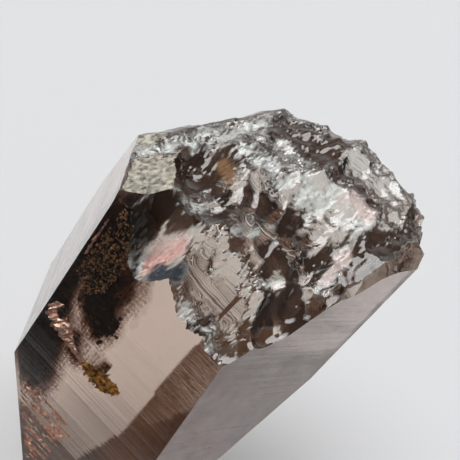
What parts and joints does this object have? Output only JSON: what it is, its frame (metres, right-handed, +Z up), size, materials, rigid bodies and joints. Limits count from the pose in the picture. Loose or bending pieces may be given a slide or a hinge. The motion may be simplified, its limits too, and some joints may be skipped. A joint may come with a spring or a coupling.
{
  "type": "smoky quartz crystal",
  "caption": "Clear brown six-sided quartz prism with a rough broken top, a slanting lower left face and a flat cut base to stand on.",
  "frame": {"origin": "on the flat base, where the crystal's long axis meets it", "axes": "+Z up along the crystal's long axis, from the cut base to the broken top; -Y is the outward normal of the front prism face; +X to the right of someone who looks at that face"},
  "size_m": [0.0466, 0.0329, 0.0839],
  "materials": {
    "smoky_quartz": "natural crystal faces, glassy; the broken top is rough and conchoidal"
  },
  "bodies": {
    "root": {"crystal": "smoky_quartz"}
  },
  "joints": []
}
